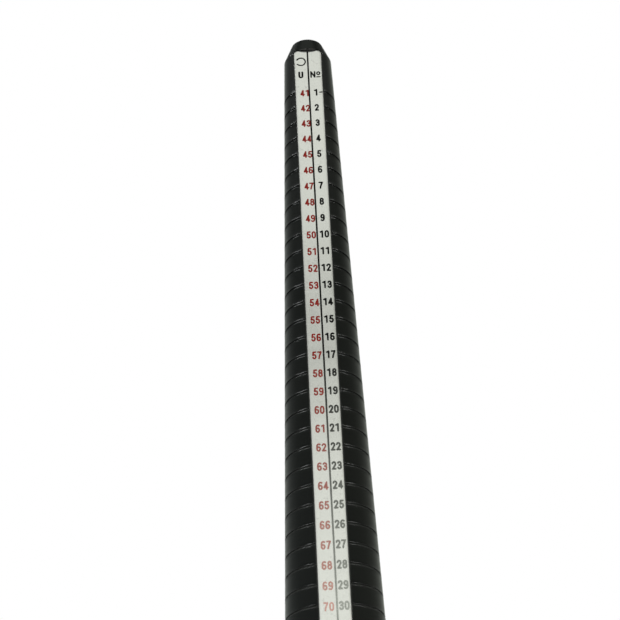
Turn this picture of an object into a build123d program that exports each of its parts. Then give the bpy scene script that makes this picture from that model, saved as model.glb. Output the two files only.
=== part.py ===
"""Ring sizing mandrel: a hollow cone with one engraved line per ring size, a scale strip
taped in a recess along the cone, a joining plug, a fluted grip with an end cap, and a tie
screw with its washer.

Millimetres. The tool's axis is Z, tip up. The origin is the centre of the flat end of the
grip, and the scale strip faces -Y.
"""
from build123d import *
import math
import os

# ---- shared ----
TOTAL_LENGTH = 299.1        # flat end of the grip to the tip
CONE_FOOT_Z = 105.0         # the cone stands on the grip's collar here
SLIP_FIT = 0.02             # a plug or screw is this much smaller in radius than its bore
OVERCUT = 1.0               # cutters run this far past the faces they open

# ---- sizing cone ----
FIRST_SIZE = 41             # inside circumference of the smallest ring
LAST_SIZE = 76              # inside circumference of the largest ring
SIZE_PITCH = 4.8            # distance along the axis between two sizes
FIRST_LINE_Z = 281.3        # height of the line of the smallest size
LINE_WIDTH = 0.52           # at the surface
LINE_FLOOR = 0.30           # width of the flat floor
LINE_DEPTH = 0.32
SHOULDER_Z = 293.9          # where the nose chamfer starts
NOSE_FLAT_R = 4.0           # where the chamfer would meet the flat end if left sharp
NOSE_EDGE_R = 0.25          # rounding of the nose's edge
CONE_WALL = 3.0
CAVITY_TOP_Z = 289.0
CAVITY_TAPER_H = 2.0        # the cavity narrows over this height at its top
CAVITY_TAPER = 1.6          # by this much in radius, beyond the wall
SOCKET_R = 8.60             # bore for the joining plug
SOCKET_TOP_Z = 134.0
SOCKET_WALL_EXTRA = 0.1     # extra wall where the cavity starts above the socket

# ---- scale strip, tape and recess ----
STRIP_WIDTH = 6.94
STRIP_THICKNESS = 0.5
STRIP_TOP_Z = 294.65
STRIP_FOOT_Z = CONE_FOOT_Z + 0.1
STRIP_CORNER_R = 1.0
FACE_Y_TOP = -4.98          # y of the strip's face at its top end
FACE_SLOPE = 0.03634        # the face moves out by this much per mm towards the grip
TAPE_THICKNESS = 0.1
TAPE_WIDTH = 6.3
TAPE_INSET = 1.5            # the tape stops short of the strip's ends
RECESS_SIDE_GAP = 0.26
RECESS_TOP_GAP = 0.15
RECESS_OVERCUT_FOOT = 2.0   # how far the cutter runs below the cone
RECESS_OVERCUT_FACE = 4.0   # how far the cutter stands out from the strip's face

# ---- grip ----
COLLAR_R = 15.0
COLLAR_H = 4.6
COLLAR_EDGE_R = 1.2
SHANK_R = 14.0              # plain length at the flat end
SHANK_TOP_Z = 28.0
SHANK_FOOT_CHAMFER = 0.3
SHANK_TOP_CHAMFER = 0.4
NECK_R = 13.0               # groove above the shank
NECK_FOOT_RISE = 1.0        # above the top of the shank
NECK_TOP_RISE = 2.6
GRIP_FOOT_Z = 4.0
GRIP_SOCKET_R = 9.52        # bore for the joining plug
WEB_TOP_Z = 70.0            # cross wall between the socket and the lower bore
WEB_FOOT_Z = 66.0
GRIP_BORE_R = 10.8
BORE_CHAMFER = 1.0
SCREW_HOLE_R = 2.3
FLUTE_COUNT = 12
FLUTE_CUTTER_R = 2.6
FLUTE_CENTRE_R = 15.35
FLUTE_LOW_Z = 42.0
FLUTE_HIGH_Z = 90.0

# Outline of the barrel between neck and collar: (radius, height)
BARREL = [
    (13.35, 32.0), (13.75, 37.0), (14.05, 44.0), (14.2, 52.0), (14.25, 60.0), (14.2, 68.0),
    (14.0, 76.0), (13.6, 84.0), (13.1, 91.0), (12.8, 96.0), (12.8, 98.4),
]

# ---- joining plug ----
PLUG_UPPER_R = SOCKET_R - SLIP_FIT
PLUG_LOWER_R = GRIP_SOCKET_R - SLIP_FIT
PLUG_FOOT_Z = WEB_TOP_Z     # the plug stands on the web
PLUG_TOP_Z = 132.0
PLUG_FOOT_CHAMFER = 0.6
PLUG_TOP_CHAMFER = 1.0
PLUG_CORE_R = 6.0
PLUG_CORE_FOOT_Z = 84.0
PILOT_R = 2.00              # hole for the tie screw

# ---- end cap ----
CAP_R = 13.8
CAP_EDGE_R = 0.9
CAP_FLOOR = 3.0
CAP_PLUG_R = GRIP_BORE_R - SLIP_FIT
CAP_PLUG_TOP_Z = 15.0
CAP_PLUG_WALL = 2.0
CAP_PLUG_CHAMFER = 0.8

# ---- tie screw and washer ----
WASHER_R = 6.0
WASHER_T = 1.0
WASHER_FOOT_Z = WEB_FOOT_Z - WASHER_T
SCREW_R = PILOT_R - SLIP_FIT
SCREW_TOP_Z = 82.0
SCREW_TIP_R = 0.5
SCREW_TIP_H = 2.0
HEAD_R = 4.0
HEAD_H = 2.6
# Domed underside of the head: (inset from the head's radius, rise above the head's foot)
HEAD_DOME = [(1.3, 0.0), (0.4, 0.6), (0.0, 1.4)]
SLOT_LENGTH = 4.2
SLOT_WIDTH = 1.0
SLOT_H = 1.8
SLOT_CENTRE_RISE = 0.7      # centre of the slot cutter above the head's foot


# ------------------------------------------------------------------ helpers
def cone_r(z):
    """Outside radius of the cone: its circumference grows 1 mm per SIZE_PITCH."""
    return (FIRST_SIZE + (FIRST_LINE_Z - z) / SIZE_PITCH) / (2 * math.pi)


def face_y(z):
    """y of the scale strip's visible face at height z."""
    return FACE_Y_TOP - FACE_SLOPE * (STRIP_TOP_Z - z)


def revolved(points):
    """Solid of revolution about Z from a closed outline of (radius, height) points."""
    wire = Polyline(*[(r, 0, z) for r, z in points], close=True)
    return revolve(make_face(wire), Axis.Z)


def round_bar(radius, foot_z, top_z):
    """Plain cylinder on the axis."""
    return revolved([(0.0, foot_z), (radius, foot_z), (radius, top_z), (0.0, top_z)])


def corner_arc(centre_r, centre_z, radius, start, end, steps=5):
    """Points of an arc in the (radius, height) plane, angles in degrees."""
    angles = [math.radians(start + (end - start) * i / steps) for i in range(steps + 1)]
    return [(centre_r + radius * math.cos(angle), centre_z + radius * math.sin(angle))
            for angle in angles]


def slab(width, top_z, foot_z, outer_depth, inner_depth, corner=0):
    """Flat bar along the strip's slope, between two depths measured from the strip's face
    towards the axis. Its two top corners may be rounded."""
    tilt = math.atan(FACE_SLOPE)
    outward = Vector(0, -math.cos(tilt), math.sin(tilt))
    # In this plane Y runs up the bar and Z points away from the axis.
    plane = Plane(origin=(0, face_y(foot_z), foot_z), x_dir=(1, 0, 0), z_dir=outward)
    length = (top_z - foot_z) / math.cos(tilt)
    outline = Rectangle(width, length, align=(Align.CENTER, Align.MIN))
    if corner > 0:
        outline = fillet(outline.vertices().sort_by(Axis.Y)[-2:], corner)
    return extrude(plane.offset(-inner_depth) * outline, inner_depth - outer_depth, dir=outward)


# ------------------------------------------------------------------ sizing cone
def size_line(z):
    """Outline points of one engraved line, from its lower edge to its upper edge."""
    low, high = z - LINE_WIDTH / 2, z + LINE_WIDTH / 2
    floor_r = cone_r(z) - LINE_DEPTH
    return [(cone_r(low), low), (floor_r, z - LINE_FLOOR / 2),
            (floor_r, z + LINE_FLOOR / 2), (cone_r(high), high)]


def nose_edge():
    """Arc tangent to the nose chamfer and the flat end."""
    chamfer = math.atan2(TOTAL_LENGTH - SHOULDER_Z, NOSE_FLAT_R - cone_r(SHOULDER_Z))
    edge_run = NOSE_EDGE_R * math.tan((math.pi - chamfer) / 2)
    return corner_arc(NOSE_FLAT_R - edge_run, TOTAL_LENGTH - NOSE_EDGE_R, NOSE_EDGE_R,
                      math.degrees(chamfer) - 90.0, 90.0, steps=6)


def make_cone():
    outline = [(0.0, CONE_FOOT_Z), (cone_r(CONE_FOOT_Z), CONE_FOOT_Z)]
    for size in range(LAST_SIZE, FIRST_SIZE - 1, -1):
        outline += size_line(FIRST_LINE_Z - (size - FIRST_SIZE) * SIZE_PITCH)
    outline += [(cone_r(SHOULDER_Z), SHOULDER_Z), *nose_edge(), (0.0, TOTAL_LENGTH)]
    cone = revolved(outline)

    # plug socket with the tapered cavity above it
    taper_z = CAVITY_TOP_Z - CAVITY_TAPER_H
    cone -= revolved([
        (0.0, CONE_FOOT_Z - OVERCUT),
        (SOCKET_R, CONE_FOOT_Z - OVERCUT),
        (SOCKET_R, SOCKET_TOP_Z),
        (cone_r(SOCKET_TOP_Z) - CONE_WALL - SOCKET_WALL_EXTRA, SOCKET_TOP_Z),
        (cone_r(taper_z) - CONE_WALL, taper_z),
        (cone_r(CAVITY_TOP_Z) - CONE_WALL - CAVITY_TAPER, CAVITY_TOP_Z),
        (0.0, CAVITY_TOP_Z),
    ])
    # recess for the strip and its tape
    cone -= slab(STRIP_WIDTH + 2 * RECESS_SIDE_GAP, STRIP_TOP_Z + RECESS_TOP_GAP,
                 CONE_FOOT_Z - RECESS_OVERCUT_FOOT, -RECESS_OVERCUT_FACE,
                 STRIP_THICKNESS + TAPE_THICKNESS, STRIP_CORNER_R + RECESS_SIDE_GAP)
    return cone


# ------------------------------------------------------------------ scale strip and tape
def make_strip():
    return slab(STRIP_WIDTH, STRIP_TOP_Z, STRIP_FOOT_Z, 0.0, STRIP_THICKNESS, STRIP_CORNER_R)


def make_tape():
    return slab(TAPE_WIDTH, STRIP_TOP_Z - TAPE_INSET, STRIP_FOOT_Z + TAPE_INSET,
                STRIP_THICKNESS, STRIP_THICKNESS + TAPE_THICKNESS)


# ------------------------------------------------------------------ joining plug
def make_plug():
    plug = revolved([
        (0.0, PLUG_FOOT_Z),
        (PLUG_LOWER_R - PLUG_FOOT_CHAMFER, PLUG_FOOT_Z),
        (PLUG_LOWER_R, PLUG_FOOT_Z + PLUG_FOOT_CHAMFER),
        (PLUG_LOWER_R, CONE_FOOT_Z),
        (PLUG_UPPER_R, CONE_FOOT_Z),
        (PLUG_UPPER_R, PLUG_TOP_Z - PLUG_TOP_CHAMFER),
        (PLUG_UPPER_R - PLUG_TOP_CHAMFER, PLUG_TOP_Z),
        (0.0, PLUG_TOP_Z),
    ])
    plug -= round_bar(PLUG_CORE_R, PLUG_CORE_FOOT_Z, PLUG_TOP_Z + OVERCUT)
    plug -= round_bar(PILOT_R, PLUG_FOOT_Z - OVERCUT, PLUG_CORE_FOOT_Z + OVERCUT)
    return plug


# ------------------------------------------------------------------ grip
def flute_cutter(angle):
    """Upright round-ended bar at an angle in degrees about the axis."""
    x = FLUTE_CENTRE_R * math.cos(math.radians(angle))
    y = FLUTE_CENTRE_R * math.sin(math.radians(angle))
    cutter = Pos(x, y, (FLUTE_LOW_Z + FLUTE_HIGH_Z) / 2) * Cylinder(
        FLUTE_CUTTER_R, FLUTE_HIGH_Z - FLUTE_LOW_Z)
    for z in (FLUTE_LOW_Z, FLUTE_HIGH_Z):
        cutter += Pos(x, y, z) * Sphere(FLUTE_CUTTER_R)
    return cutter


def make_grip():
    collar_arc_r = COLLAR_R - COLLAR_EDGE_R
    collar_foot_z = CONE_FOOT_Z - COLLAR_H
    grip = revolved([
        (0.0, GRIP_FOOT_Z),
        (SHANK_R - SHANK_FOOT_CHAMFER, GRIP_FOOT_Z),
        (SHANK_R, GRIP_FOOT_Z + SHANK_FOOT_CHAMFER),
        (SHANK_R, SHANK_TOP_Z),
        (SHANK_R - SHANK_TOP_CHAMFER, SHANK_TOP_Z + SHANK_TOP_CHAMFER),
        (NECK_R, SHANK_TOP_Z + NECK_FOOT_RISE),
        (NECK_R, SHANK_TOP_Z + NECK_TOP_RISE),
        *BARREL,
        *corner_arc(collar_arc_r, collar_foot_z + COLLAR_EDGE_R, COLLAR_EDGE_R, -90, 0),
        *corner_arc(collar_arc_r, CONE_FOOT_Z - COLLAR_EDGE_R, COLLAR_EDGE_R, 0, 90),
        (0.0, CONE_FOOT_Z),
    ])
    grip -= round_bar(GRIP_SOCKET_R, WEB_TOP_Z, CONE_FOOT_Z + OVERCUT)
    # lower bore, chamfered under the web
    grip -= revolved([
        (0.0, GRIP_FOOT_Z - OVERCUT),
        (GRIP_BORE_R, GRIP_FOOT_Z - OVERCUT),
        (GRIP_BORE_R, WEB_FOOT_Z - BORE_CHAMFER),
        (GRIP_BORE_R - BORE_CHAMFER, WEB_FOOT_Z),
        (0.0, WEB_FOOT_Z),
    ])
    grip -= round_bar(SCREW_HOLE_R, WEB_FOOT_Z - OVERCUT, WEB_TOP_Z + OVERCUT)
    for i in range(FLUTE_COUNT):
        grip -= flute_cutter(360.0 * (i + 0.5) / FLUTE_COUNT)
    return grip


# ------------------------------------------------------------------ end cap
def make_cap():
    inner_r = CAP_PLUG_R - CAP_PLUG_WALL
    return revolved([
        (0.0, 0.0),
        *corner_arc(CAP_R - CAP_EDGE_R, CAP_EDGE_R, CAP_EDGE_R, -90, 0),
        (CAP_R, GRIP_FOOT_Z),
        (CAP_PLUG_R, GRIP_FOOT_Z),
        (CAP_PLUG_R, CAP_PLUG_TOP_Z - CAP_PLUG_CHAMFER),
        (CAP_PLUG_R - CAP_PLUG_CHAMFER, CAP_PLUG_TOP_Z),
        (inner_r, CAP_PLUG_TOP_Z),
        (inner_r, CAP_FLOOR),
        (0.0, CAP_FLOOR),
    ])


# ------------------------------------------------------------------ washer and screw
def make_washer():
    return revolved([(SCREW_HOLE_R, WASHER_FOOT_Z), (WASHER_R, WASHER_FOOT_Z),
                     (WASHER_R, WEB_FOOT_Z), (SCREW_HOLE_R, WEB_FOOT_Z)])


def make_screw():
    """Screw pointing up, its head under the washer."""
    head_foot_z = WASHER_FOOT_Z - HEAD_H
    screw = revolved([
        (0.0, head_foot_z),
        *[(HEAD_R - inset, head_foot_z + rise) for inset, rise in HEAD_DOME],
        (HEAD_R, WASHER_FOOT_Z),
        (SCREW_R, WASHER_FOOT_Z),
        (SCREW_R, SCREW_TOP_Z - SCREW_TIP_H),
        (SCREW_TIP_R, SCREW_TOP_Z),
        (0.0, SCREW_TOP_Z),
    ])
    # cross slot in the underside of the head
    for turn in (0, 90):
        slot = Rot(0, 0, turn) * Box(SLOT_LENGTH, SLOT_WIDTH, SLOT_H)
        screw -= Pos(0, 0, head_foot_z + SLOT_CENTRE_RISE) * slot
    return screw


# ------------------------------------------------------------------ write
PARTS = {
    "mandrel_cone": make_cone,
    "scale_strip": make_strip,
    "strip_tape": make_tape,
    "joining_plug": make_plug,
    "handle_grip": make_grip,
    "end_cap": make_cap,
    "tie_washer": make_washer,
    "tie_screw": make_screw,
}
os.makedirs("parts", exist_ok=True)
for name, make in PARTS.items():
    export_step(make(), f"parts/{name}.step")
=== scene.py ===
"""A ring mandrel stood upright: a tapered black cone with a line for each ring size, on a fluted grip.

The tool's axis is +Z, with the end cap's foot at z = 0 and the nose at the top. The aluminium scale
strip lies in a recess on the front, which faces -Y, and +X is to the viewer's right.
"""
import functools
import math

import bmesh
import bpy
import numpy as np
from mathutils import Matrix, Vector


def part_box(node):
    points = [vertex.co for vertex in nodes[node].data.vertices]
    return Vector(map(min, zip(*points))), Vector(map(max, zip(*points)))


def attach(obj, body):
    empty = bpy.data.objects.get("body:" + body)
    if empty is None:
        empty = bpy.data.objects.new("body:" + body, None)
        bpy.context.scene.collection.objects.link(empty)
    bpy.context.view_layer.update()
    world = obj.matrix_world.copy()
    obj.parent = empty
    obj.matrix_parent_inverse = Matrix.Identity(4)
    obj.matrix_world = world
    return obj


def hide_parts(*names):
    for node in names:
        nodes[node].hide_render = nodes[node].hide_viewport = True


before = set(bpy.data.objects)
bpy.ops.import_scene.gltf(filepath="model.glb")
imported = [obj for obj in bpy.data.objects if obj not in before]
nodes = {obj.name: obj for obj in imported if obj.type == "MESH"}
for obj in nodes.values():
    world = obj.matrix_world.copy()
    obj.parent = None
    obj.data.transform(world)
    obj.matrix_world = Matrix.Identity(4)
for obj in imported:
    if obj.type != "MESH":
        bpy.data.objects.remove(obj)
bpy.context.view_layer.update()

MM = 0.001
ROOT = "root"
scene = bpy.context.scene


# ---------------------------------------------------------------- driving dimensions
def span(node_name):
    """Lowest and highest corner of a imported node, in millimetres."""
    low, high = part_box(node_name)
    return [round(v / MM, 3) for v in low], [round(v / MM, 3) for v in high]


CONE_LO, CONE_HI = span("mandrel_cone")
STRIP_LO, STRIP_HI = span("scale_strip")
FOOT_Z, TOP_Z = CONE_LO[2], CONE_HI[2]

# a size is the ring's inner circumference in millimetres
FIRST_SIZE, LAST_SIZE = 41, 76
PITCH = 4.8
FIRST_Z = TOP_Z - 17.8
LINE_ZS = [FIRST_Z - PITCH * k for k in range(LAST_SIZE - FIRST_SIZE + 1)]

STRIP_W = STRIP_HI[0] - STRIP_LO[0]
STRIP_T = 0.5
STRIP_TOP = STRIP_HI[2]
STRIP_FOOT = FOOT_Z + 0.1
FACE_TOP_Y = -4.98     # y of the strip's face at its top
FACE_SLOPE = 0.03634   # how far the face moves to the front for each unit of height down


def cone_r(z):
    return (FIRST_SIZE + (FIRST_Z - z) / PITCH) / (2 * math.pi)


def face_y(z):
    return FACE_TOP_Y - FACE_SLOPE * (STRIP_TOP - z)


# ---------------------------------------------------------------- mesh helpers
def add_mesh(name, verts, faces, angle):
    """A new object from millimetre vertices, smooth except across edges sharper than angle."""
    mesh = bpy.data.meshes.new(name)
    mesh.from_pydata((np.asarray(verts, float) * MM).tolist(), [], faces)
    mesh.validate()
    ob = bpy.data.objects.new(name, mesh)
    scene.collection.objects.link(ob)
    bm = bmesh.new()
    bm.from_mesh(mesh)
    bmesh.ops.remove_doubles(bm, verts=bm.verts, dist=2e-7)
    bmesh.ops.dissolve_degenerate(bm, edges=bm.edges, dist=1e-7)
    bmesh.ops.recalc_face_normals(bm, faces=bm.faces)
    if all(e.is_manifold for e in bm.edges) and bm.calc_volume(signed=True) < 0:
        bmesh.ops.reverse_faces(bm, faces=bm.faces)
    bm.to_mesh(mesh)
    bm.free()
    mesh.shade_smooth()
    mesh.set_sharp_from_angle(angle=math.radians(angle))
    return ob


def lofted(rows, cap_first=None, cap_last=None, ring=False):
    """Vertices and faces over equal closed rows of points.

    cap_first and cap_last are centre points for fans. ring joins the last row to the first.
    """
    n, row_count = len(rows[0]), len(rows)
    verts = [tuple(p) for row in rows for p in row]
    faces = []
    for j in range(row_count if ring else row_count - 1):
        a, b = j * n, ((j + 1) % row_count) * n
        for i in range(n):
            k = (i + 1) % n
            faces.append((a + i, a + k, b + k, b + i))
    if cap_first is not None:
        centre = len(verts)
        verts.append(cap_first)
        faces += [(centre, (i + 1) % n, i) for i in range(n)]
    if cap_last is not None:
        centre = len(verts)
        verts.append(cap_last)
        a = (row_count - 1) * n
        faces += [(centre, a + i, a + (i + 1) % n) for i in range(n)]
    return verts, faces


def lathe_rows(profile, n, shape=None):
    """Rows for a list of (radius, z). shape(radius, z, angles) gives radii that change round it."""
    angles = np.linspace(0, 2 * math.pi, n, endpoint=False) - math.pi / 2
    rows = []
    for radius, z in profile:
        radii = np.full(n, float(radius)) if shape is None else shape(radius, z, angles)
        rows.append(np.stack([radii * np.cos(angles), radii * np.sin(angles),
                              np.full(n, float(z))], 1))
    return rows


def bend(centre_r, centre_z, radius, start, end, n):
    """Profile points along an arc, from start to end in degrees."""
    angles = np.radians(np.linspace(start, end, n))
    return [(centre_r + radius * math.cos(t), centre_z + radius * math.sin(t)) for t in angles]


def wall(radius, *heights):
    return [(radius, z) for z in heights]


def rounded_half(z, width, top, corner):
    """Half the width at height z of an upright shape whose two top corners are rounded."""
    half = width / 2
    over = z - (top - corner)
    if over <= 0:
        return half
    return half - corner + math.sqrt(max(corner**2 - over**2, 0.0))


def corner_heights(top, corner, degrees):
    return [top - corner + corner * math.sin(math.radians(t)) for t in degrees]


# ---------------------------------------------------------------- the cone
SHOULDER_Z = TOP_Z - 5.2
SHOULDER_SOFT = 0.05
NOSE_R, NOSE_EDGE = 4.0, 0.25

SLOT_W, SLOT_CORNER = 7.46, 1.26
SLOT_TOP = STRIP_TOP + 0.15
SLOT_DEPTH = 0.6       # from the strip's face to the recess floor
ARC_STEPS, FLOOR_STEPS, WALL_STEPS = 176, 8, 2

SOCKET_R, SOCKET_TOP = 8.60, 134.0
CAVITY_TOP, WALL = 289.0, 3.0

# Half of a size line's section: (distance from its middle, depth). It is a steep cut with a flat
# floor and a low burr, of negative depth, along each lip.
GROOVE = [
    (0.378, 0.0), (0.362, -0.0035), (0.346, -0.0095), (0.332, -0.0150), (0.320, -0.0185),
    (0.309, -0.0195), (0.298, -0.0185), (0.285, -0.0150), (0.269, -0.0095), (0.254, -0.0045),
    (0.247, 0.002), (0.241, 0.025), (0.220, 0.12), (0.194, 0.23), (0.168, 0.30),
    (0.135, 0.32), (0.06, 0.32), (0.0, 0.32)]
GROOVE_DISTANCES, GROOVE_DEPTHS = zip(*GROOVE[::-1])


def lined_r(z):
    """The cone's radius with its size lines cut in."""
    nearest = min(LINE_ZS, key=lambda line_z: abs(line_z - z))
    return cone_r(z) - float(np.interp(abs(z - nearest), GROOVE_DISTANCES, GROOVE_DEPTHS))


def cone_ring(radius, z, slotted):
    """The round side from the recess's right lip to its left lip, then through the recess."""
    half = rounded_half(min(z, SLOT_TOP), SLOT_W, SLOT_TOP, SLOT_CORNER)
    half = min(half, radius * 0.98)
    lip_angle = math.asin(half / radius)
    angles = np.linspace(-math.pi / 2 + lip_angle, 1.5 * math.pi - lip_angle, ARC_STEPS + 1)
    pts = [(radius * math.cos(t), radius * math.sin(t), z) for t in angles]
    if slotted:
        lip_y = -math.sqrt(radius * radius - half * half)
        floor_y = face_y(z) + SLOT_DEPTH
        for k in range(1, WALL_STEPS):
            pts.append((-half, lip_y + (floor_y - lip_y) * k / WALL_STEPS, z))
        pts += [(x, floor_y, z) for x in np.linspace(-half, half, FLOOR_STEPS + 1)]
        for k in range(1, WALL_STEPS):
            pts.append((half, floor_y + (lip_y - floor_y) * k / WALL_STEPS, z))
    else:
        # above the recess the same points lie on the round side, so every ring has the same count
        count = FLOOR_STEPS + 1 + 2 * (WALL_STEPS - 1)
        for across in np.linspace(-1, 1, count + 2)[1:-1]:
            t = math.asin(half * across / radius)
            pts.append((radius * math.sin(t), -radius * math.cos(t), z))
    return np.array(pts)


def nose_profile():
    """(radius, z) down the nose: flat end, rounded rim, long chamfer and softened shoulder."""
    shoulder_r = cone_r(SHOULDER_Z)
    tilt = math.atan2(TOP_Z - SHOULDER_Z, shoulder_r - NOSE_R)
    rim_r, rim_z = NOSE_R - NOSE_EDGE * math.tan(tilt / 2), TOP_Z - NOSE_EDGE
    profile = [(NOSE_R * f, TOP_Z) for f in (0.3, 0.6, 0.8, 0.9)]
    for k in range(7):
        t = tilt * k / 6
        profile.append((rim_r + NOSE_EDGE * math.sin(t), rim_z + NOSE_EDGE * math.cos(t)))

    start = np.array(profile[-1])
    shoulder = np.array([shoulder_r, SHOULDER_Z])
    along = (shoulder - start) / np.hypot(*(shoulder - start))
    above = shoulder - along * SHOULDER_SOFT
    below_z = SHOULDER_Z - SHOULDER_SOFT
    below = np.array([cone_r(below_z), below_z])

    heights = [TOP_Z - drop for drop in (0.6, 1.3, 2.1, 2.9, 3.7)] + [SLOT_TOP]
    heights += corner_heights(SLOT_TOP, SLOT_CORNER, (10, 22, 34, 45, 55, 64, 72, 79, 85))
    heights = {round(z, 5) for z in heights if above[1] + 0.02 < z < start[1] - 0.02}
    for z in sorted(heights, reverse=True):
        fraction_r = (shoulder[0] - start[0]) * (z - start[1]) / (shoulder[1] - start[1])
        profile.append((start[0] + fraction_r, z))
    for f in np.linspace(0, 1, 6):
        profile.append((1 - f) ** 2 * above + 2 * f * (1 - f) * shoulder + f * f * below)
    return profile


def side_heights():
    """Heights of the rings down the lined side: close at each line, with a few between lines."""
    heights = []
    for line_z in LINE_ZS:
        for distance, _ in GROOVE:
            heights += [line_z + distance, line_z - distance]
        heights += [line_z + 1.1, line_z - 1.1, line_z - PITCH / 2]
    heights += [FIRST_Z + rise for rise in (3.7, 6.2, 9.2, 11.1, 12.1, 12.32)]
    kept = {round(z, 4) for z in heights if FOOT_Z + 0.5 < z < SLOT_TOP - 1e-3}
    return sorted(kept, reverse=True)


def hollow_rows(angles):
    """Rings of the inside, up from the foot: the socket, then the tapered cavity."""
    top_r = cone_r(CAVITY_TOP) - WALL
    profile = [(SOCKET_R + 0.35, FOOT_Z), (SOCKET_R + 0.08, FOOT_Z + 0.08),
               (SOCKET_R, FOOT_Z + 0.35)]
    profile += wall(SOCKET_R, *np.linspace(FOOT_Z + 5, SOCKET_TOP, 6))
    profile += [(cone_r(z) - WALL, z) for z in np.linspace(SOCKET_TOP, CAVITY_TOP - 1.5, 16)]
    profile += [(top_r - 0.25, CAVITY_TOP - 0.4), (top_r - 1.0, CAVITY_TOP)]
    return [np.stack([r * np.cos(angles), r * np.sin(angles), np.full(len(angles), z)], 1)
            for r, z in profile]


def build_cone():
    rows = []
    nose = nose_profile()
    for radius, z in nose:
        if abs(z - SLOT_TOP) < 1e-4:
            # two rings at one height make the recess's top wall
            rows.append(cone_ring(radius, SLOT_TOP, False))
            rows.append(cone_ring(radius, SLOT_TOP, True))
        else:
            rows.append(cone_ring(radius, z, z < SLOT_TOP))
    side_top = nose[-1][1] - 0.03
    rows += [cone_ring(lined_r(z), z, True) for z in side_heights() if z < side_top]
    # the foot's small chamfer: (distance in from the cone's side, height above the foot)
    for inset, rise in ((0.0, 0.35), (0.03, 0.18), (0.10, 0.06), (0.2, 0.0)):
        z = FOOT_Z + rise
        rows.append(cone_ring(cone_r(z) - inset, z, True))
    rows += hollow_rows(np.arctan2(rows[-1][:, 1], rows[-1][:, 0]))
    verts, faces = lofted(rows, cap_first=(0, 0, TOP_Z), cap_last=(0, 0, CAVITY_TOP))
    return add_mesh("cone_body", verts, faces, angle=36)


# ---------------------------------------------------------------- the scale strip
STRIP_CORNER = 1.0
STRIP_EDGE = 0.07      # rounding of the long edges


def strip_ring(z, shrink, depth):
    """A section of the plate; shrink narrows each side and depth sets its face back."""
    half = rounded_half(z, STRIP_W, STRIP_TOP, STRIP_CORNER) - shrink
    front, back = face_y(z) + depth, face_y(z) + STRIP_T
    left = [(-half, back, z)]
    for degrees in (0, 30, 60, 90):
        t = math.radians(degrees)
        left.append((-half + STRIP_EDGE * (1 - math.cos(t)),
                     front + STRIP_EDGE * (1 - math.sin(t)), z))
    inset = half - STRIP_EDGE
    middle = [(x, front, z) for x in np.linspace(-inset, inset, 9)[1:-1]]
    right = [(-x, y, z) for x, y, z in left[::-1]]
    return np.array(left + middle + right)


def build_strip():
    corner_z = STRIP_TOP - STRIP_CORNER
    heights = [STRIP_FOOT + 0.06, *np.linspace(STRIP_FOOT + 4, corner_z, 48)]
    heights += corner_heights(STRIP_TOP, STRIP_CORNER, (12, 24, 36, 48, 58, 67, 75, 82, 87))
    heights.append(STRIP_TOP - 0.004)
    rows = [strip_ring(STRIP_FOOT, shrink=0.0, depth=0.05)]
    rows += [strip_ring(z, shrink=0.0, depth=0.0) for z in heights]
    # the top edge rounds over towards the face
    rows.append(strip_ring(STRIP_TOP - 0.001, shrink=0.02, depth=0.03))
    rows.append(strip_ring(STRIP_TOP, shrink=0.05, depth=0.08))
    n = len(rows[0])
    verts, faces = lofted(rows)
    faces.append(tuple(range(n))[::-1])
    faces.append(tuple(range((len(rows) - 1) * n, len(rows) * n)))
    return add_mesh("scale_plate", verts, faces, angle=40)


# ---------------------------------------------------------------- the grip
# (radius, z) up the barrel, before the flutes are cut
BARREL = [
    (13.35, 32), (13.75, 37), (14.05, 44), (14.2, 52), (14.25, 60), (14.2, 68),
    (14.0, 76), (13.6, 84), (13.1, 91), (12.8, 96), (12.8, 98.4)]
BARREL_R, BARREL_Z = np.array(BARREL, float).T

FLUTE_STEP = 30.0              # degrees between flutes
FLUTE_R, FLUTE_AXIS_R = 2.6, 15.35
FLUTE_LOW, FLUTE_HIGH = 42, 90   # between these the flute is straight; its ends are round
FLUTE_REACH = 3                # how far past them the flutes and their blend go
FLUTE_BLEND = 0.34             # width of the softened lip

COLLAR_R, COLLAR_TOP = 15.0, 105.0
UPPER_BORE_R, LOWER_BORE_R, HOLE_R = 9.52, 10.8, 2.3
WEB_LOW, WEB_TOP = 66.0, 70.0    # the web between the two bores


def barrel_r(z):
    """A smooth cubic curve through the BARREL points."""
    last = len(BARREL) - 1
    k = int(np.clip(np.searchsorted(BARREL_Z, z) - 1, 0, last - 1))

    def slope(i, j):
        return (BARREL_R[j] - BARREL_R[i]) / (BARREL_Z[j] - BARREL_Z[i])

    slope_low, slope_high = slope(max(k - 1, 0), k + 1), slope(k, min(k + 2, last))
    step = BARREL_Z[k + 1] - BARREL_Z[k]
    t = (z - BARREL_Z[k]) / step
    return float((2 * t**3 - 3 * t**2 + 1) * BARREL_R[k]
                 + (t**3 - 2 * t**2 + t) * step * slope_low
                 + (-2 * t**3 + 3 * t**2) * BARREL_R[k + 1]
                 + (t**3 - t**2) * step * slope_high)


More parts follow.
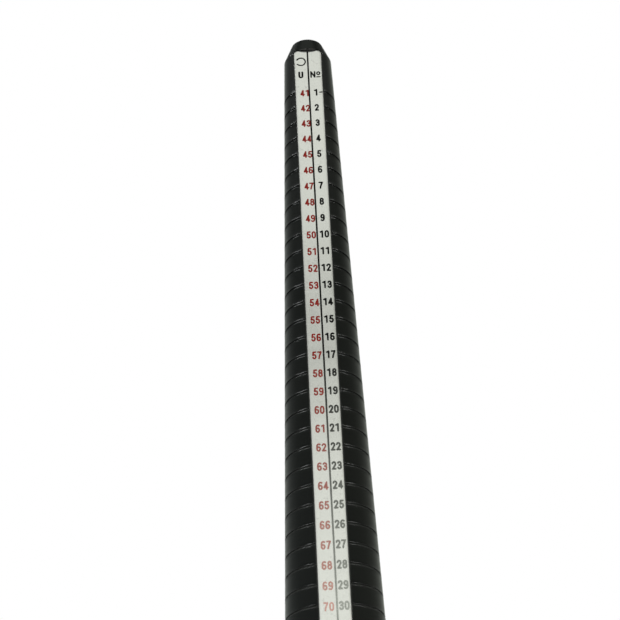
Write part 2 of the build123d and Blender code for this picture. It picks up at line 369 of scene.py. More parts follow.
def fluted(radius, z, angles):
    """Radii round the grip, blended smoothly into the flutes."""
    plain = np.full(len(angles), float(radius))
    if not (FLUTE_LOW - FLUTE_REACH < z < FLUTE_HIGH + FLUTE_REACH):
        return plain
    past = max(FLUTE_LOW - z, z - FLUTE_HIGH, 0.0)
    off_axis = np.radians(np.degrees(angles) % FLUTE_STEP - FLUTE_STEP / 2)
    side = FLUTE_AXIS_R * np.sin(off_axis)
    inside = FLUTE_R**2 - past * past - side * side
    axis = FLUTE_AXIS_R * np.cos(off_axis)
    cut = axis - np.sqrt(np.maximum(inside, 0))
    # outside a flute its surface rises away, so that the blend fades out
    cut = np.where(inside > 0, cut, axis + 0.9 * np.sqrt(np.maximum(-inside, 0)))
    h = np.clip(0.5 + 0.5 * (cut - plain) / FLUTE_BLEND, 0, 1)
    return cut * (1 - h) + plain * h - FLUTE_BLEND * h * (1 - h)


def build_grip():
    # (radius, z) up the outside: foot, shank, and the narrow groove under the barrel
    profile = [(11.1, 4.0), (13.55, 4.0), *bend(13.6, 4.4, 0.4, -90, 0, 5),
               *wall(14.0, 10, 16, 22, 27.4), *bend(13.65, 27.65, 0.35, 0, 90, 5),
               *bend(13.3, 28.3, 0.3, 90, 180, 4), *wall(13.0, 28.9, 30.0),
               *bend(13.3, 30.3, 0.3, 180, 270, 4),
               (13.25, 30.75), (13.34, 31.1), (13.35, 31.6)]
    # barrel heights, closest at the flute ends: (first, last, count)
    for low, high, count in ((32, 38.5, 8), (38.9, 43, 22), (44, 88.5, 34), (89, 93.1, 22),
                             (93.8, 98.2, 8)):
        profile += [(barrel_r(z), z) for z in np.linspace(low, high, count)]
    # the cove up to the collar, then its rounded rims
    rim = 0.5
    profile += [(12.82, 98.9), (12.95, 99.4), (13.25, 99.85), (13.75, 100.2), (14.35, 100.38),
                *bend(COLLAR_R - rim, 100.9, rim, -90, 0, 6), *wall(COLLAR_R, 102.0, 103.4),
                *bend(COLLAR_R - rim, COLLAR_TOP - rim, rim, 0, 90, 6)]
    # over the top and down the upper bore, across the web with its hole, down the lower bore
    profile += [(12.8, COLLAR_TOP), (12.2, COLLAR_TOP), (9.9, COLLAR_TOP), (9.6, 104.93),
                *wall(UPPER_BORE_R, 104.7, 100, 90, 80, 70.6), (9.3, 70.15),
                (8.9, WEB_TOP), (4.0, WEB_TOP), (HOLE_R, WEB_TOP),
                (HOLE_R, WEB_LOW), (4.0, WEB_LOW), (10.2, WEB_LOW), (10.65, 65.8),
                *wall(LOWER_BORE_R, 65.3, 50, 35, 20, 8, 4.35), (10.88, 4.1)]
    verts, faces = lofted(lathe_rows(profile, 360, fluted), ring=True)
    return add_mesh("grip_body", verts, faces, angle=33)


# ---------------------------------------------------------------- the end cap
CAP_DISH_Z, CAP_FLOOR_Z = 0.5, 2.0   # the dished centre below, and the floor inside
CAP_SPIGOT_R, CAP_BORE_R = 10.78, 8.78


def build_cap():
    # (radius, z): the underside with its ring groove, the rim, the spigot, then the inside
    profile = [(2.2, CAP_DISH_Z), (2.55, 0.45), (2.85, 0.14), (3.2, 0.0), (8.6, 0.0), (8.78, 0.06),
               (8.93, 0.22), (9.27, 0.22), (9.42, 0.06), (9.6, 0.0),
               *bend(12.9, 0.9, 0.9, -90, 0, 8), *wall(13.8, 2.0, 3.3),
               *bend(13.45, 3.6, 0.35, 0, 90, 5), (11.2, 3.98), (10.86, 3.98),
               *wall(CAP_SPIGOT_R, 4.2, 7, 10, 13, 14.3),
               *bend(CAP_SPIGOT_R - 0.5, 14.5, 0.5, 0, 90, 5), (9.4, 15.0), (8.9, 14.95),
               *wall(CAP_BORE_R, 14.6, 11, 7, 3.2),
               (8.4, 2.35), (7.8, CAP_FLOOR_Z), (4.0, CAP_FLOOR_Z)]
    verts, faces = lofted(lathe_rows(profile, 192), cap_first=(0, 0, CAP_DISH_Z),
                          cap_last=(0, 0, CAP_FLOOR_Z))
    return add_mesh("cap_body", verts, faces, angle=33)


# ---------------------------------------------------------------- the glyphs
# Every glyph is a set of strokes in a box GLYPH_W wide and 1 high; its outline is the contour of
# the strokes' distance field. HIGH, LOW, LEFT and RIGHT are stroke centres that just fill the box.
def arc(cx, cy, rx, ry, start, end, n=18):
    angles = np.radians(np.linspace(start, end, n))
    return [(cx + rx * math.cos(t), cy + ry * math.sin(t)) for t in angles]


GLYPH_W = 0.56
HALF_STROKE = 0.211 / 2
LEFT, RIGHT, MID = HALF_STROKE, GLYPH_W - HALF_STROKE, GLYPH_W / 2
LOW, HIGH = HALF_STROKE, 1 - HALF_STROKE
BOW = (RIGHT - LEFT) / 2
GLYPHS = {
    "0": [arc(MID, HIGH - 0.26, BOW, 0.26, 0, 180) + arc(MID, LOW + 0.26, BOW, 0.26, 180, 360)
          + [(RIGHT, HIGH - 0.26)]],
    "1": [[(MID + 0.07, LOW), (MID + 0.07, HIGH)],
          [(MID + 0.07, HIGH), (MID - 0.02, 0.84), (MID - 0.14, 0.785)]],
    "2": [arc(MID, HIGH - 0.215, BOW, 0.215, 165, -22)
          + [(LEFT + 0.14, 0.27), (LEFT + 0.02, LOW), (RIGHT, LOW)]],
    "3": [arc(MID, HIGH - 0.2, BOW - 0.01, 0.2, 155, -82, 22),
          arc(MID, LOW + 0.225, BOW, 0.225, 84, -160, 24),
          [(MID - 0.03, 0.53), (MID + 0.05, 0.53)]],
    "4": [[(RIGHT - 0.09, LOW), (RIGHT - 0.09, HIGH), (LEFT - 0.005, 0.315),
           (LEFT - 0.005, 0.295), (RIGHT + 0.04, 0.295)]],
    "5": [[(RIGHT - 0.02, HIGH), (LEFT + 0.07, HIGH), (LEFT + 0.025, 0.53)]
          + arc(MID - 0.005, LOW + 0.235, BOW, 0.235, 128, -158, 24)],
    "6": [arc(MID, LOW + 0.22, BOW, 0.22, 0, 360, 30),
          arc(MID + 0.03, HIGH - 0.30, BOW + 0.03, 0.30, 52, 180, 16) + [(LEFT, LOW + 0.22)]],
    "7": [[(LEFT - 0.01, HIGH), (RIGHT, HIGH), (MID + 0.05, 0.60), (MID - 0.045, 0.30),
           (MID - 0.07, LOW)]],
    "8": [arc(MID, HIGH - 0.19, BOW - 0.02, 0.19, 0, 360, 30),
          arc(MID, LOW + 0.225, BOW, 0.225, 0, 360, 30)],
    "9": [arc(MID, HIGH - 0.22, BOW, 0.22, 0, 360, 30),
          arc(MID - 0.03, LOW + 0.30, BOW + 0.03, 0.30, -128, 0, 16) + [(RIGHT, HIGH - 0.22)]],
    "U": [[(LEFT, HIGH), (LEFT, LOW + 0.20)] + arc(MID, LOW + 0.20, BOW, 0.20, 180, 360)
          + [(RIGHT, HIGH)]],
    "N": [[(LEFT - 0.06, LOW), (LEFT - 0.06, HIGH), (RIGHT + 0.06, LOW), (RIGHT + 0.06, HIGH)]],
    "o": [arc(MID, 0.66, 0.150, 0.200, 0, 360, 28), [(MID - 0.155, 0.155), (MID + 0.155, 0.155)]],
}
GRID_PAD, GRID_CELLS = 0.14, 46   # margin round the glyph box, and cells up the padded box
OUTLINE_TOLERANCE = 0.0022


def stroke_field(strokes, half, grid_x, grid_y):
    """Distance to the edge of the thick strokes at each grid point, negative inside."""
    xs, ys = np.meshgrid(grid_x, grid_y)
    distance = np.full(xs.shape, 9.0)
    for stroke in strokes:
        pts = np.array(stroke, float)
        for a, b in zip(pts[:-1], pts[1:]):
            ab = b - a
            length2 = float(ab @ ab) + 1e-12
            t = np.clip(((xs - a[0]) * ab[0] + (ys - a[1]) * ab[1]) / length2, 0, 1)
            distance = np.minimum(distance, np.hypot(xs - a[0] - t * ab[0], ys - a[1] - t * ab[1]))
    field = distance - half
    return np.where(np.abs(field) < 1e-6, 1e-6, field)


@functools.cache
def glyph_loops(char, half):
    """Closed outlines of one glyph, by marching squares on its distance field."""
    step = (1.0 + 2 * GRID_PAD) / GRID_CELLS
    nx = int(math.ceil((GLYPH_W + 2 * GRID_PAD) / step)) + 1
    ny = GRID_CELLS + 1
    grid_x = -GRID_PAD + step * np.arange(nx)
    grid_y = -GRID_PAD + step * np.arange(ny)
    field = stroke_field(GLYPHS[char], half, grid_x, grid_y)

    def crossing(i0, j0, i1, j1):
        t = field[j0, i0] / (field[j0, i0] - field[j1, i1])
        return (grid_x[i0] + t * (grid_x[i1] - grid_x[i0]),
                grid_y[j0] + t * (grid_y[j1] - grid_y[j0]))

    # crossings are keyed by grid edge, so neighbouring segments join exactly
    point, links = {}, {}
    for j in range(ny - 1):
        for i in range(nx - 1):
            corners = [(i, j), (i + 1, j), (i + 1, j + 1), (i, j + 1)]
            hits = []
            for a, b in zip(corners, corners[1:] + corners[:1]):
                if (field[a[1], a[0]] < 0) != (field[b[1], b[0]] < 0):
                    a, b = sorted((a, b))
                    key = ("h" if a[1] == b[1] else "v", *a)
                    if key not in point:
                        point[key] = crossing(*a, *b)
                    hits.append(key)
            for a, b in zip(hits[::2], hits[1::2]):
                links.setdefault(a, []).append(b)
                links.setdefault(b, []).append(a)

    loops, seen = [], set()
    for start in sorted(links):
        if start in seen:
            continue
        loop, here = [], start
        while here is not None:
            seen.add(here)
            loop.append(point[here])
            here = next((key for key in links[here] if key not in seen), None)
        if len(loop) > 5:
            loops.append(thin(np.array(loop), OUTLINE_TOLERANCE))
    return loops


def thin(loop, tolerance):
    """Drops points that lie on the line between their neighbours, within tolerance."""
    keep = np.ones(len(loop), bool)

    def walk(a, b):
        if b - a < 2:
            return
        start, along = loop[a], loop[b] - loop[a]
        between = loop[a + 1:b]
        off = np.abs((between[:, 0] - start[0]) * along[1] - (between[:, 1] - start[1]) * along[0])
        off = off / (np.hypot(*along) + 1e-12)
        k = int(np.argmax(off))
        if off[k] > tolerance:
            walk(a, a + 1 + k)
            walk(a + 1 + k, b)
        else:
            keep[a + 1:b] = False

    middle = len(loop) // 2
    walk(0, middle)
    walk(middle, len(loop) - 1)
    return loop[keep]


# ---------------------------------------------------------------- the printing on the strip
INK_T, INK_SINK = 0.014, 0.004    # thickness, and how much of it lies below the face
FACE_LENGTH = math.hypot(1.0, FACE_SLOPE)   # length along the face for each unit of height
UP = np.array([0.0, FACE_SLOPE, 1.0]) / FACE_LENGTH
OUT = np.array([0.0, -1.0, FACE_SLOPE]) / FACE_LENGTH

# number columns: the rows counted from the top, and the column's centre x at those rows
COUNT_X = ((10, 30, 36), (1.90, 1.97, 2.00))
COUNT_X_ONE_DIGIT = 1.70
SIZE_X = ((1, 10, 30, 36), (-1.16, -1.28, -1.38, -1.40))
# the rule between the columns drifts a little to the right towards the handle
RULE_ROWS, RULE_XS = (1, 12, 24, 36), (0.0, 0.0, 0.21, 0.36, 0.50, 0.52)
RULE_HALF_W = 0.215


def along_face(z):
    """Distance up the tilted face for a height z."""
    return z * FACE_LENGTH


def print_piece(name, loops):
    """One object from closed (x, distance up the face) loops: a thin layer on the strip."""
    curve = bpy.data.curves.new(name + "_outline", "CURVE")
    curve.dimensions = "2D"
    curve.fill_mode = "BOTH"
    curve.extrude = INK_T / 2 * MM
    for loop in loops:
        spline = curve.splines.new("POLY")
        spline.points.add(len(loop) - 1)
        coords = np.c_[np.asarray(loop) * MM, np.zeros(len(loop)), np.ones(len(loop))]
        spline.points.foreach_set("co", coords.ravel())
        spline.use_cyclic_u = True
    flat = bpy.data.objects.new(name + "_tmp", curve)
    scene.collection.objects.link(flat)
    depsgraph = bpy.context.evaluated_depsgraph_get()
    mesh = bpy.data.meshes.new_from_object(flat.evaluated_get(depsgraph))
    bpy.data.objects.remove(flat)
    bpy.data.curves.remove(curve)

    # lay the flat mesh on the tilted face
    co = np.zeros(len(mesh.vertices) * 3)
    mesh.vertices.foreach_get("co", co)
    co = co.reshape(-1, 3)
    base = np.array([0, face_y(0.0), 0.0]) * MM
    height = co[:, 2:3] + (INK_T / 2 - INK_SINK) * MM
    laid = base + co[:, 0:1] * np.array([1.0, 0, 0]) + co[:, 1:2] * UP + height * OUT
    mesh.vertices.foreach_set("co", laid.ravel())
    mesh.update()
    bm = bmesh.new()
    bm.from_mesh(mesh)
    bmesh.ops.remove_doubles(bm, verts=bm.verts, dist=1e-8)
    bmesh.ops.recalc_face_normals(bm, faces=bm.faces)
    bm.to_mesh(mesh)
    bm.free()
    mesh.name = name
    ob = bpy.data.objects.new(name, mesh)
    scene.collection.objects.link(ob)
    return ob


def text_loops(text, centre_x, z, height=2.14, stretch=0.94, half=HALF_STROKE):
    """Outlines of a line of text; stretch widens the glyphs and half is half the stroke."""
    advance = 0.615
    total = (advance * (len(text) - 1) + GLYPH_W) * height * stretch
    x = centre_x - total / 2
    loops = []
    for char in text:
        for loop in glyph_loops(char, half):
            loops.append(np.stack([x + loop[:, 0] * height * stretch,
                                   along_face(z) + (loop[:, 1] - 0.5) * height], 1))
        x += advance * height * stretch
    return loops


def rule_loops():
    """The long rule between the columns, and a short dash beside the first row."""
    heights = [STRIP_TOP - 0.15, *(LINE_ZS[row - 1] for row in RULE_ROWS), STRIP_FOOT + 0.4]
    rule = list(zip(RULE_XS, heights))
    long = [(x - RULE_HALF_W, along_face(z)) for x, z in rule]
    long += [(x + RULE_HALF_W, along_face(z)) for x, z in rule[::-1]]
    left, right = 2.55, 3.42
    low, high = along_face(FIRST_Z - 0.37), along_face(FIRST_Z - 0.02)
    return [np.array(long), np.array([(left, low), (right, low), (right, high), (left, high)])]


def ring_symbol():
    """An open ring above the columns, whose line thickens towards its end."""
    x, z, rx, ry, line, swell = -1.82, 291.15, 1.34, 1.38, 0.35, 0.07
    start, sweep, count = 212, 304, 60
    angles = np.radians(np.linspace(start, start + sweep, count))
    outer = [(x + rx * math.cos(t), along_face(z) + ry * math.sin(t)) for t in angles]
    inner = []
    for i, t in enumerate(angles):
        grown = swell * (i / (count - 1)) ** 3
        inner.append((x + (rx - line - grown) * math.cos(t),
                      along_face(z) + (ry - line - grown) * math.sin(t)))
    return np.array(outer + inner[::-1])


def build_print():
    black, red = [], []
    for row, z in enumerate(LINE_ZS, 1):
        count_x = COUNT_X_ONE_DIGIT if row < 10 else float(np.interp(row, *COUNT_X))
        black += text_loops(str(row), count_x, z - 0.195)
        size_x = float(np.interp(row, *SIZE_X))
        red += text_loops(str(FIRST_SIZE + row - 1), size_x, z - 0.325, half=0.097)
    black += rule_loops()
    # column headings
    black += text_loops("U", -1.95, 286.88, height=2.12, stretch=1.10)
    black += text_loops("N", 1.13, 286.90, height=2.16, stretch=0.92, half=0.102)
    black += text_loops("o", 2.53, 286.84, height=2.25, stretch=1.08, half=0.076)
    black.append(ring_symbol())
    return print_piece("print_black", black), print_piece("print_red", red)


cone = build_cone()
strip = build_strip()
grip = build_grip()
cap = build_cap()
ink_black, ink_red = build_print()

for ob, node_name in ((cone, "mandrel_cone"), (strip, "scale_strip"), (grip, "handle_grip"),
                      (cap, "end_cap")):
    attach(ob, ROOT)
    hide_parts(node_name)
for ob in (ink_black, ink_red):
    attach(ob, ROOT)


# ---------------------------------------------------------------- shader helpers
def rgba(colour):
    return colour if isinstance(colour, bpy.types.NodeSocket) else (*colour, 1.0)


class Shader:
    """Short ways to add nodes to one node tree. Most return the new node's output."""

    def __init__(self, tree):
        self.tree = tree
        tree.nodes.clear()

    def fill(self, node, inputs):
        for key, value in inputs.items():
            if isinstance(value, bpy.types.NodeSocket):
                self.tree.links.new(value, node.inputs[key])
            else:
                node.inputs[key].default_value = value

    def node(self, kind, inputs=None, **props):
        new = self.tree.nodes.new(kind)
        for key, value in props.items():
            setattr(new, key, value)
        self.fill(new, inputs or {})
        return new

    def stretched(self, place, scale):
        return self.node("ShaderNodeMapping", {"Vector": place, "Scale": scale}).outputs[0]

    def noise(self, place, scale, detail=4.0, rough=0.55):
        return self.node("ShaderNodeTexNoise", {"Vector": place, "Scale": scale, "Detail": detail,
                                                "Roughness": rough}).outputs["Fac"]

    def ramp(self, fac, stops):
        """stops are (position, grey or colour)."""
        new = self.node("ShaderNodeValToRGB", {0: fac})
        elements = new.color_ramp.elements
        while len(elements) > 1:
            elements.remove(elements[-1])
        for i, (position, c) in enumerate(stops):
            element = elements[0] if i == 0 else elements.new(position)
            element.position = position
            element.color = rgba(c if hasattr(c, "__len__") else (c, c, c))
        return new.outputs[0]

    def fade(self, fac, start, end, low=0.0, high=1.0):
        return self.ramp(fac, [(start, low), (end, high)])

    def math(self, operation, a, b=0.0, clamp=False):
        return self.node("ShaderNodeMath", {0: a, 1: b}, operation=operation,
                         use_clamp=clamp).outputs[0]

    def mul(self, a, by, clamp=False):
        return self.math("MULTIPLY", a, by, clamp)

    def add(self, a, b, clamp=False):
        return self.math("ADD", a, b, clamp)

    def mix(self, fac, a, b, blend="MIX"):
        return self.node("ShaderNodeMix", {0: fac, 6: rgba(a), 7: rgba(b)}, data_type="RGBA",
                         blend_type=blend).outputs[2]

    def tint(self, a, b):
        return self.mix(1.0, a, b, "MULTIPLY")

    def bump(self, height, strength, distance):
        return self.node("ShaderNodeBump", {"Height": height, "Strength": strength,
                                            "Distance": distance}).outputs[0]


class Surface(Shader):
    """A new material with one Principled surface, textured in object coordinates."""

    def __init__(self, name):
        self.material = bpy.data.materials.new(name)
        self.material.use_nodes = True
        super().__init__(self.material.node_tree)
        output = self.node("ShaderNodeOutputMaterial")
        self.principled = self.node("ShaderNodeBsdfPrincipled")
        self.fill(output, {0: self.principled.outputs[0]})
        self.place = self.node("ShaderNodeTexCoord").outputs["Object"]

    def finish(self, inputs):
        self.fill(self.principled, inputs)
        return self.material


# ---------------------------------------------------------------- materials
RAMP_HEIGHT = 0.3   # metres up the tool that a height ramp's 0 to 1 covers

# (fraction of RAMP_HEIGHT, wear and painted glare): the print is lightened most round size 70, partly
# by real wear and partly by painted glare
PRINT_WEAR_AND_GLARE = [
    (0.378, 0.12), (0.402, 0.18), (0.426, 0.34), (0.450, 0.50), (0.474, 0.60), (0.506, 0.48),
    (0.538, 0.415), (0.586, 0.27), (0.634, 0.125), (0.682, 0.02), (0.70, 0.0)]


def line_dust(sh):
    """Lighter grey in the floors of the size lines, most of it near the handle."""
    x, y, z = sh.node("ShaderNodeSeparateXYZ", {"Vector": sh.place}).outputs
    radius = sh.math("SQRT", sh.add(sh.mul(x, x), sh.mul(y, y)))
    slope = (cone_r(100.0) - cone_r(0.0)) / 100.0
    side = sh.add(sh.mul(z, slope), cone_r(0.0) * MM)
    depth = sh.math("DIVIDE", sh.math("SUBTRACT", side, radius), 0.4 * MM)
    in_line = sh.fade(depth, start=0.40, end=0.74)
    by_height = [(0.56, 1.0), (0.64, 0.60), (0.76, 0.0)]   # (fraction of RAMP_HEIGHT, share of the grey)
    low_down = sh.ramp(sh.math("DIVIDE", z, RAMP_HEIGHT), by_height)
    patchy = sh.add(sh.mul(sh.noise(sh.place, scale=500.0), by=0.8), 0.5, clamp=True)
    return sh.mul(sh.mul(in_line, low_down), patchy)


def black_plastic(name, base, rough, grain, turned=0.0, spark=0.0, edge=0.5):
    """Black plastic with faint colour clouds and uneven gloss.

    grain, turned and spark are the heights of its fine grain, turning lines and pitted texture;
    edge is how strongly edges are rubbed grey. Turned plastic also gets the lighter grey in its size
    lines.
    """
    sh = Surface(name)
    cloud = sh.noise(sh.place, scale=60.0, detail=5.0)
    fine = sh.noise(sh.place, scale=2600.0, detail=3.0, rough=0.6)
    dark, light = (tuple(v * factor for v in base) for factor in (0.80, 1.25))
    colour = sh.fade(cloud, start=0.35, end=0.65, low=dark, high=light)
    pointiness = sh.node("ShaderNodeNewGeometry").outputs["Pointiness"]
    worn = sh.mul(sh.fade(pointiness, start=0.51, end=0.56),
                  sh.fade(sh.noise(sh.place, scale=240.0), start=0.42, end=0.6))
    worn = sh.mul(worn, by=edge)
    worn_grey, line_floor_colour = (0.06, 0.06, 0.06), (0.055, 0.055, 0.051)
    colour = sh.mix(worn, colour, worn_grey)
    # the floors of the size lines are lightened to grey, most near the handle
    if turned:
        colour = sh.mix(line_dust(sh), colour, line_floor_colour)

    # roughness varies about rough, by streaks drawn out along the axis and by broad smears
    streak_part, smear_part, worn_part = 0.10, 0.12, 0.2
    streak = sh.noise(sh.stretched(sh.place, (1.0, 1.0, 0.22)), scale=420.0, rough=0.6)
    smear = sh.noise(sh.place, scale=95.0, detail=3.0)
    gloss = sh.add(sh.mul(streak, streak_part), sh.mul(smear, smear_part))
    gloss = sh.add(gloss, rough - (streak_part + smear_part) / 2)
    gloss = sh.add(gloss, sh.mul(worn, worn_part))

    height = sh.mul(fine, by=grain)
    if turned:
        flattened = sh.stretched(sh.place, (0.02, 0.02, 1.0))
        lines = sh.noise(flattened, scale=5200.0, detail=2.0, rough=0.7)
        height = sh.add(height, sh.mul(lines, by=turned))
    if spark:
        cells = sh.node("ShaderNodeTexVoronoi", {"Vector": sh.place, "Scale": 2600.0},
                        feature="SMOOTH_F1").outputs["Distance"]
        height = sh.add(height, sh.mul(cells, by=spark))
    return sh.finish({"Base Color": colour, "Roughness": gloss, "IOR": 1.5,
                      "Normal": sh.bump(height, strength=1.0, distance=0.00006)})


def satin_aluminium(name):
    sh = Surface(name)
    grain = sh.noise(sh.stretched(sh.place, (1.0, 1.0, 0.35)), scale=2200.0, rough=0.65)
    patch = sh.noise(sh.place, scale=130.0, detail=5.0, rough=0.6)
    dull, bright = (0.845, 0.815, 0.803), (0.915, 0.885, 0.874)
    colour = sh.mix(sh.fade(patch, start=0.3, end=0.7), dull, bright)
    specks = sh.noise(sh.place, scale=900.0, detail=3.0, rough=0.7)
    colour = sh.tint(colour, sh.fade(specks, start=0.30, end=0.42, low=0.86))
    gloss = sh.add(sh.mul(grain, by=0.08), sh.mul(patch, by=0.06))
    # its edges are duller than its face
    normal = sh.node("ShaderNodeNewGeometry").outputs["Normal"]
    facing = sh.node("ShaderNodeVectorMath", {0: normal, 1: tuple(OUT)},
                     operation="DOT_PRODUCT").outputs["Value"]
    edge = sh.fade(facing, start=0.90, end=0.99, low=0.35, high=0.0)
    base_rough = 0.11
    gloss = sh.add(sh.add(gloss, base_rough), edge)
    drawn = sh.stretched(sh.place, (1.0, 1.0, 0.012))
    scratches = sh.noise(drawn, scale=5200.0, detail=2.0, rough=0.6)
    height = sh.add(sh.mul(grain, by=0.5), sh.mul(scratches, by=0.35))
    return sh.finish({"Metallic": 1.0, "Base Color": colour, "Roughness": gloss,
                      "Normal": sh.bump(height, strength=0.10, distance=0.00003)})


def ink(name, base, thin_colour, rubbed_and_glare_colour, specular):
    """Printed ink with slightly uneven cover, lightened towards the metal's colour by real wear and
    painted glare together.
    """
    sh = Surface(name)
    fine = sh.noise(sh.place, scale=2100.0, detail=3.0, rough=0.6)
    broad = sh.noise(sh.place, scale=210.0, detail=3.0)
    thinness = sh.add(sh.mul(sh.fade(fine, start=0.45, end=0.75), by=0.5), sh.mul(broad, by=0.2))
    colour = sh.mix(thinness, base, thin_colour)
    z = sh.node("ShaderNodeSeparateXYZ", {"Vector": sh.place}).outputs[2]
    # painted glare together with real wear: the print is lightened towards a pale metallic colour,
    # most round size 70
    wear_and_glare = sh.ramp(sh.math("DIVIDE", z, RAMP_HEIGHT), PRINT_WEAR_AND_GLARE)
    least, varied = 0.70, 0.6    # share of the wear and painted glare that is even, and that follows the noise
    rub_and_glare = sh.mul(wear_and_glare, sh.add(sh.mul(fine, varied), least), clamp=True)
    colour = sh.mix(rub_and_glare, colour, rubbed_and_glare_colour)
    metallic = sh.mul(rub_and_glare, by=1.6, clamp=True)
    base_rough = 0.42
    gloss = sh.add(sh.mul(broad, by=0.2), base_rough)
    gloss = sh.math("SUBTRACT", gloss, sh.mul(rub_and_glare, by=0.4))
    return sh.finish({"Base Color": colour, "Metallic": metallic, "Roughness": gloss,
                      "Specular IOR Level": specular,
                      "Normal": sh.bump(fine, strength=0.3, distance=0.00002)})


def mottled(name, scale, dark, light, rough, relief, metallic=0.0):
    """A plain material whose colour, gloss and relief follow one noise."""
    sh = Surface(name)
    grain = sh.noise(sh.place, scale=scale)
    colour = sh.fade(grain, start=0.3, end=0.7, low=dark, high=light)
    gloss = sh.add(sh.mul(grain, by=0.2), rough)
    return sh.finish({"Metallic": metallic, "Base Color": colour, "Roughness": gloss,
                      "Normal": sh.bump(grain, strength=relief, distance=0.00003)})


def use(ob, material):
    ob.data.materials.clear()
    ob.data.materials.append(material)


HANDLE_BLACK = (0.0115, 0.0115, 0.0120)
use(cone, black_plastic("cone_plastic", base=(0.0052, 0.0064, 0.0054), rough=0.20, grain=0.02,
                        turned=0.05, edge=0.0))
use(strip, satin_aluminium("scale_aluminium"))
use(grip, black_plastic("grip_plastic", base=HANDLE_BLACK, rough=0.44, grain=0.10, spark=0.45))
use(cap, black_plastic("cap_plastic", base=HANDLE_BLACK, rough=0.36, grain=0.07, spark=0.10))
use(ink_black, ink("ink_black", base=(0.003, 0.0035, 0.0035), thin_colour=(0.016, 0.017, 0.018),
                   rubbed_and_glare_colour=(0.84, 0.83, 0.79), specular=0.12))
use(ink_red, ink("ink_red", base=(0.52, 0.024, 0.016), thin_colour=(0.63, 0.070, 0.048),
                 rubbed_and_glare_colour=(0.98, 0.78, 0.72), specular=0.3))
use(nodes["joining_plug"], black_plastic("plug_plastic", base=(0.020, 0.020, 0.021), rough=0.5,
                                         grain=0.1, spark=0.2))
use(nodes["strip_tape"], mottled("bonding_tape", scale=1500.0, dark=(0.70, 0.69, 0.63),
                                 light=(0.82, 0.81, 0.76), rough=0.5, relief=0.4))
steel = mottled("plated_steel", scale=700.0, dark=(0.56, 0.57, 0.60), light=(0.70, 0.71, 0.73),
                rough=0.18, relief=0.3, metallic=1.0)
use(nodes["tie_screw"], steel)
use(nodes["tie_washer"], steel)


# ---------------------------------------------------------------- the floor
def build_floor():
    n, half, z = 48, 3000.0, -0.05
    grid = np.linspace(-half, half, n + 1)
    row = n + 1
    verts = [(x, y, z) for y in grid for x in grid]
    faces = [(j * row + i, j * row + i + 1, (j + 1) * row + i + 1, (j + 1) * row + i)
             for j in range(n) for i in range(n)]
    return add_mesh("floor", verts, faces, angle=32)


def floor_paint():
    """White paint that glows to the eye and in reflections, more so further out."""
    sh = Surface("floor_paint")
    colour = sh.fade(sh.noise(sh.place, scale=6.0, detail=3.0), start=0.3, end=0.7,
                     low=(0.80, 0.80, 0.79), high=(0.84, 0.84, 0.83))
    rays = sh.node("ShaderNodeLightPath").outputs
    seen = sh.math("MAXIMUM", rays["Is Camera Ray"], rays["Is Glossy Ray"])
    reach = sh.node("ShaderNodeVectorMath", {0: sh.place}, operation="LENGTH").outputs["Value"]
    floor_half = 3.0    # metres
    # (fraction of the way out, glow)
    glow = sh.ramp(sh.math("DIVIDE", reach, floor_half),
                   [(0.06, 0.42), (0.25, 0.55), (0.45, 0.80), (0.70, 1.0)])
    return sh.finish({"Base Color": colour, "Roughness": 0.6,
                      "Emission Color": (1.0, 1.0, 0.99, 1.0),
                      "Emission Strength": sh.mul(seen, glow)})


floor = build_floor()
use(floor, floor_paint())

# ---------------------------------------------------------------- the world: a light tent
# Brightness tables. "Away" runs from 0 in front to 1 behind; "rise" from 0 level to 1 overhead.
TENT_BY_AWAY = [(0.0, 0.15), (0.42, 0.15), (0.50, 0.145), (0.58, 0.20), (0.75, 0.34),
                (0.90, 0.50), (1.0, 0.70)]
# a dark joint between lighter parts below and above
JOINT_BY_RISE = [(0.24, 0.60), (0.29, 0.52), (0.325, 0.36), (0.362, 0.29), (0.40, 0.44),
                 (0.43, 0.48)]
JOINT_GAIN = (3.0, 3.0, 3.0)
JOINT_BY_AWAY = [(0.30, 1.0), (0.48, 0.75), (0.62, 0.0)]   # how much of the joint is felt
OVERHEAD_BY_RISE = [(0.43, 1.0), (0.50, 0.45), (0.60, 0.22)]
# two panels in front, one above the other, with a black gap between
PANELS_BY_RISE = [
    (0.0, 0.87), (0.20, 0.885), (0.29, 0.875), (0.333, 0.86), (0.347, 0.25), (0.352, 0.0),
    (0.363, 0.0), (0.369, 0.30), (0.382, 0.91), (0.405, 0.88), (0.43, 0.82), (0.46, 0.80),
    (0.55, 0.72), (0.66, 0.35), (0.8, 0.2)]
ZENITH = (0.24, 0.24, 0.24)
LEFT_TINT, RIGHT_TINT = (0.95, 1.02, 0.98), (0.91, 0.96, 0.84)
WHITE = (1.0, 1.0, 1.0)


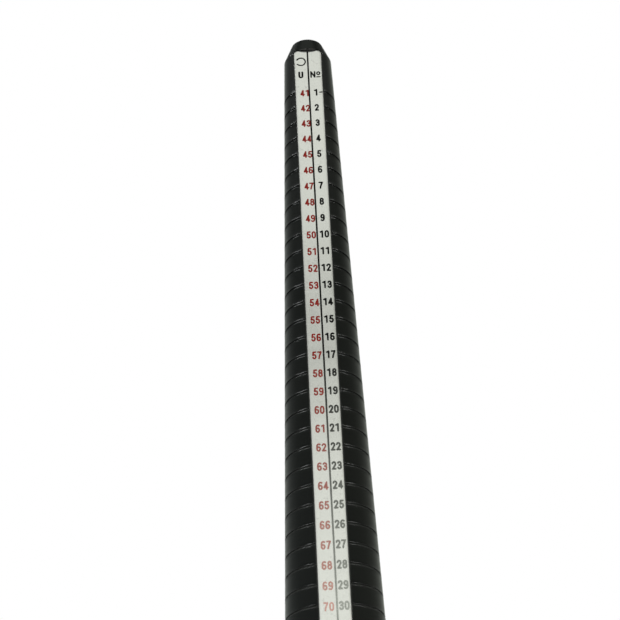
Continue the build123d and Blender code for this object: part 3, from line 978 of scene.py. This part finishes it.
def build_world():
    world = bpy.data.worlds.new("studio")
    scene.world = world
    world.use_nodes = True
    sh = Shader(world.node_tree)
    output = sh.node("ShaderNodeOutputWorld")
    background = sh.node("ShaderNodeBackground", {"Strength": 1.0})
    sh.fill(output, {0: background.outputs[0]})
    direction = sh.node("ShaderNodeTexCoord").outputs["Generated"]
    x, y, z = sh.node("ShaderNodeSeparateXYZ", {0: direction}).outputs
    azimuth = sh.math("ARCTAN2", x, sh.mul(y, by=-1.0))
    away = sh.math("DIVIDE", sh.math("ABSOLUTE", azimuth), math.pi)
    rise = sh.math("DIVIDE", sh.math("ARCSINE", z), math.pi / 2)

    tent = sh.ramp(away, TENT_BY_AWAY)
    joint = sh.tint(sh.ramp(rise, JOINT_BY_RISE), JOINT_GAIN)
    tent = sh.tint(tent, sh.mix(sh.ramp(away, JOINT_BY_AWAY), WHITE, joint))
    tent = sh.tint(tent, sh.ramp(rise, OVERHEAD_BY_RISE))
    panels = sh.ramp(rise, PANELS_BY_RISE)
    front = sh.fade(away, start=0.075, end=0.125, low=1.0, high=0.0)
    tent = sh.mix(front, tent, panels)
    tent = sh.mix(sh.fade(rise, start=0.76, end=0.86), tent, ZENITH)
    # x from -1..1 to 0..1
    across = sh.add(sh.mul(x, by=0.5), 0.5)
    tent = sh.tint(tent, sh.mix(across, LEFT_TINT, RIGHT_TINT))
    # the camera itself sees plain white
    camera_ray = sh.node("ShaderNodeLightPath").outputs["Is Camera Ray"]
    sh.fill(background, {"Color": sh.mix(camera_ray, tent, WHITE)})


build_world()

# ---------------------------------------------------------------- lamps (metres)
AIM = (0, 0, 0.21)


def area(name, place, aim, size, size_y, power, colour):
    light = bpy.data.lights.new(name, "AREA")
    light.shape = "RECTANGLE"
    light.size = size
    light.size_y = size_y
    light.energy = power
    light.color = colour
    ob = bpy.data.objects.new(name, light)
    scene.collection.objects.link(ob)
    ob.location = place
    ob.rotation_euler = (Vector(aim) - Vector(place)).to_track_quat("-Z", "Y").to_euler()
    return ob


def polar(azimuth, elevation, distance):
    """A place round AIM: azimuth 0 is in front of the scale, positive towards +X."""
    a, e = math.radians(azimuth), math.radians(elevation)
    return (AIM[0] + distance * math.sin(a) * math.cos(e),
            AIM[1] - distance * math.cos(a) * math.cos(e),
            AIM[2] + distance * math.sin(e))


top = area("top_softbox", place=(0.1, 0.8, 1.5), aim=(0, 0, 0.1), size=1.4, size_y=1.4, power=1.8,
           colour=WHITE)
top.visible_glossy = False
area("left_lamp", place=polar(azimuth=-93, elevation=55, distance=1.2), aim=AIM,
     size=0.62, size_y=0.12, power=3.4, colour=(0.97, 1.0, 1.0))
area("right_lamp", place=polar(azimuth=84, elevation=55, distance=1.2), aim=AIM,
     size=0.42, size_y=0.12, power=2.1, colour=(1.0, 1.0, 0.97))

# ---------------------------------------------------------------- the camera
# low in front of the tool, looking up along it
CAMERA_PLACE = Vector((-5.21, -388.76, 8.14)) * MM
CAMERA_RIGHT = Vector((0.9990481307190188, 0.014856704129085825, -0.041013544704829666))
CAMERA_DOWN = Vector((-0.04311206646331346, 0.4795531956107617, -0.876453126130981))
CAMERA_FORWARD = Vector((0.006646971648585579, 0.8773870359892076, 0.47973722687110243))
LENS_SHIFT = 0.00080645   # fraction of the image width, left and up

camera_data = bpy.data.cameras.new("camera")
camera = bpy.data.objects.new("camera", camera_data)
scene.collection.objects.link(camera)
pose = Matrix((CAMERA_RIGHT, -CAMERA_DOWN, -CAMERA_FORWARD)).transposed().to_4x4()
pose.translation = CAMERA_PLACE
camera.matrix_world = pose
camera_data.sensor_fit = "HORIZONTAL"
camera_data.sensor_width = 36.0
camera_data.lens = 106.24
camera_data.shift_x, camera_data.shift_y = -LENS_SHIFT, LENS_SHIFT
camera_data.clip_start, camera_data.clip_end = 0.01, 50
focus = bpy.data.objects.new("focus_point", None)
scene.collection.objects.link(focus)
focus.location = (0, -0.0075, 0.235)
camera_data.dof.use_dof = True
camera_data.dof.focus_object = focus
camera_data.dof.aperture_fstop = 64.0
scene.camera = camera
scene.view_settings.view_transform = "Standard"
scene.view_settings.look = "None"
scene.view_settings.exposure = 0.0
scene.view_settings.gamma = 1.0
